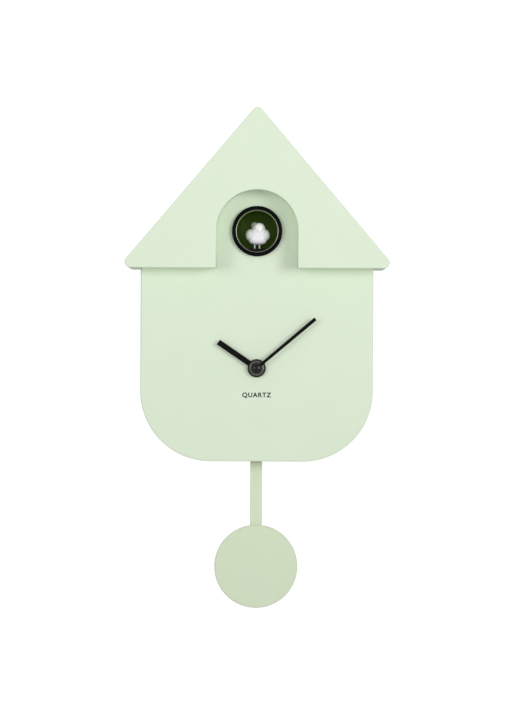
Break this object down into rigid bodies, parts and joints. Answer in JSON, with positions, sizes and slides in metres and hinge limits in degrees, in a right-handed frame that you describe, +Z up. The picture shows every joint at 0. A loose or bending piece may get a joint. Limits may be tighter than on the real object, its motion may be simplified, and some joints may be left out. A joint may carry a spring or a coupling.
{
  "type": "cuckoo clock",
  "caption": "House-shaped wall clock: gabled roof with an arched bird window, sliding bird, quartz movement with hands, sound unit and a swinging pendulum.",
  "frame": {"origin": "centre of the wall hanger's round entry hole, on the back plane that lies against the wall", "axes": "+Z up, the front faces -Y, +Y into the wall, +X to the viewer's right"},
  "size_m": [0.215, 0.085, 0.4091],
  "materials": {
    "mint_shell": "pastel mint green ABS, satin with a very fine moulded grain",
    "mint_cover": "pastel mint green ABS, satin, plain moulded back",
    "mint_pendulum": "pastel mint green ABS, satin",
    "ring_black": "high-gloss black",
    "chamber_green": "dark olive green, glossy inside",
    "perch_black": "black, semi-gloss",
    "bird_white": "white, soft satin",
    "wing_grey": "very pale grey-white, soft satin",
    "beak_white": "white, soft satin",
    "leg_grey": "light grey",
    "black_plastic": "black, moulded",
    "hand_black": "matte black lacquer on thin sheet",
    "cap_black": "high-gloss black dome",
    "gear_nylon": "natural acetal, off-white",
    "rotor_dark": "bonded magnet, dark grey",
    "brass": "turned brass",
    "steel": "bright zinc-plated steel",
    "copper_wire": "enamelled copper wire",
    "board_green": "green solder mask",
    "rubber_black": "soft black rubber",
    "cell_metal": "plain metal-jacketed cells, no label",
    "cone_paper": "pressed black paper cone",
    "button_red": "red, semi-gloss",
    "sensor_clear": "translucent epoxy"
  },
  "bodies": {
    "root": {"front_housing": "mint_shell", "roof_cover": "mint_shell", "back_cover": "mint_cover", "bezel_ring": "ring_black", "bird_chamber": "chamber_green", "slide_guide": "black_plastic", "gearbox_frame": "black_plastic", "movement_case": "black_plastic", "movement_cover": "black_plastic", "pendulum_bracket": "black_plastic", "battery_tray": "black_plastic", "button_body": "black_plastic", "board_parts": "black_plastic", "centre_nut": "brass", "bird_motor": "steel", "stator": "steel", "pivot_pin": "steel", "battery_contacts": "steel", "battery_springs": "steel", "speaker_basket": "steel", "speaker_magnet": "steel", "switch_body": "steel", "cover_screws": "steel", "inner_screws": "steel", "step_coil": "copper_wire", "drive_coil": "copper_wire", "movement_board": "board_green", "sound_board": "board_green", "rubber_washer": "rubber_black", "battery_cells": "cell_metal", "speaker_cone": "cone_paper", "light_sensor": "sensor_clear"},
    "minute_hand": {"minute_hand": "hand_black", "centre_cap": "cap_black", "cannon_pinion": "brass", "centre_wheel": "gear_nylon"},
    "hour_hand": {"hour_hand": "hand_black", "hour_wheel": "gear_nylon"},
    "minute_wheel": {"minute_wheel": "gear_nylon"},
    "setting_knob": {"setting_knob": "gear_nylon"},
    "third_wheel": {"third_wheel": "gear_nylon"},
    "seconds_wheel": {"seconds_wheel": "gear_nylon"},
    "fifth_wheel": {"fifth_wheel": "gear_nylon"},
    "rotor": {"step_rotor": "rotor_dark"},
    "pendulum": {"pendulum_hanger": "black_plastic", "pendulum_magnet": "steel", "pendulum_rod": "mint_pendulum", "pendulum_bob": "mint_pendulum"},
    "bird": {"bird_slider": "perch_black", "bird_body": "bird_white", "bird_wings": "wing_grey", "bird_beak": "beak_white", "bird_legs": "leg_grey"},
    "drive_gear": {"reduction_gear": "gear_nylon"},
    "motor_shaft": {"motor_pinion": "brass"},
    "battery_door": {"battery_door": "mint_cover"},
    "volume_slider": {"volume_slider": "black_plastic"},
    "test_button": {"test_button": "button_red"}
  },
  "joints": [
    {"name": "minute_hand_turn", "type": "hinge", "parent": "root", "child": "minute_hand", "pos_m": [0, -0.052, -0.1669], "axis": [0, 1, 0], "continuous": true},
    {"name": "hour_hand_turn", "type": "hinge", "parent": "root", "child": "hour_hand", "pos_m": [0, -0.052, -0.1669], "axis": [0, 1, 0], "continuous": true},
    {"name": "minute_wheel_turn", "type": "hinge", "parent": "root", "child": "minute_wheel", "pos_m": [-0.0096, -0.052, -0.1669], "axis": [0, 1, 0], "continuous": true},
    {"name": "setting_knob_turn", "type": "hinge", "parent": "root", "child": "setting_knob", "pos_m": [-0.0192, -0.052, -0.1669], "axis": [0, 1, 0], "continuous": true},
    {"name": "third_wheel_turn", "type": "hinge", "parent": "root", "child": "third_wheel", "pos_m": [0.01122, -0.052, -0.1669], "axis": [0, 1, 0], "continuous": true},
    {"name": "seconds_wheel_turn", "type": "hinge", "parent": "root", "child": "seconds_wheel", "pos_m": [0.01122, -0.052, -0.1561], "axis": [0, 1, 0], "continuous": true},
    {"name": "fifth_wheel_turn", "type": "hinge", "parent": "root", "child": "fifth_wheel", "pos_m": [0.00222, -0.052, -0.1561], "axis": [0, 1, 0], "continuous": true},
    {"name": "rotor_turn", "type": "hinge", "parent": "root", "child": "rotor", "pos_m": [-0.00618, -0.052, -0.1561], "axis": [0, 1, 0], "continuous": true},
    {"name": "pendulum_swing", "type": "hinge", "parent": "root", "child": "pendulum", "pos_m": [0, -0.038, -0.2049], "axis": [0, 1, 0], "range_deg": [-6, 6]},
    {"name": "bird_slide", "type": "slide", "parent": "root", "child": "bird", "axis": [0, -1, 0], "range_m": [0, 0.022]},
    {"name": "drive_gear_turn", "type": "hinge", "parent": "root", "child": "drive_gear", "pos_m": [0, -0.031, -0.0826], "axis": [1, 0, 0], "range_deg": [0, 226]},
    {"name": "motor_shaft_turn", "type": "hinge", "parent": "root", "child": "motor_shaft", "pos_m": [0.006, -0.031, -0.0946], "axis": [1, 0, 0], "range_deg": [-901, 0]},
    {"name": "battery_door_open", "type": "hinge", "parent": "root", "child": "battery_door", "pos_m": [0.062, -0.0013, -0.1391], "axis": [1, 0, 0], "range_deg": [0, 100]},
    {"name": "volume_slide", "type": "slide", "parent": "root", "child": "volume_slider", "axis": [1, 0, 0], "range_m": [0, 0.004]},
    {"name": "test_button_press", "type": "slide", "parent": "root", "child": "test_button", "axis": [0, -1, 0], "range_m": [0, 0.0015], "stiffness_N_per_m": 150}
  ],
  "couplings": [
    {"joint": "hour_hand_turn", "follows": "minute_hand_turn", "ratio": 0.083333},
    {"joint": "minute_wheel_turn", "follows": "minute_hand_turn", "ratio": -0.33333},
    {"joint": "setting_knob_turn", "follows": "minute_hand_turn", "ratio": 1},
    {"joint": "third_wheel_turn", "follows": "minute_hand_turn", "ratio": -7.5},
    {"joint": "seconds_wheel_turn", "follows": "minute_hand_turn", "ratio": 60},
    {"joint": "fifth_wheel_turn", "follows": "minute_hand_turn", "ratio": -300},
    {"joint": "rotor_turn", "follows": "minute_hand_turn", "ratio": 1800},
    {"joint": "drive_gear_turn", "follows": "bird_slide", "rad_per_m": 178.57},
    {"joint": "motor_shaft_turn", "follows": "bird_slide", "rad_per_m": -714.29}
  ]
}
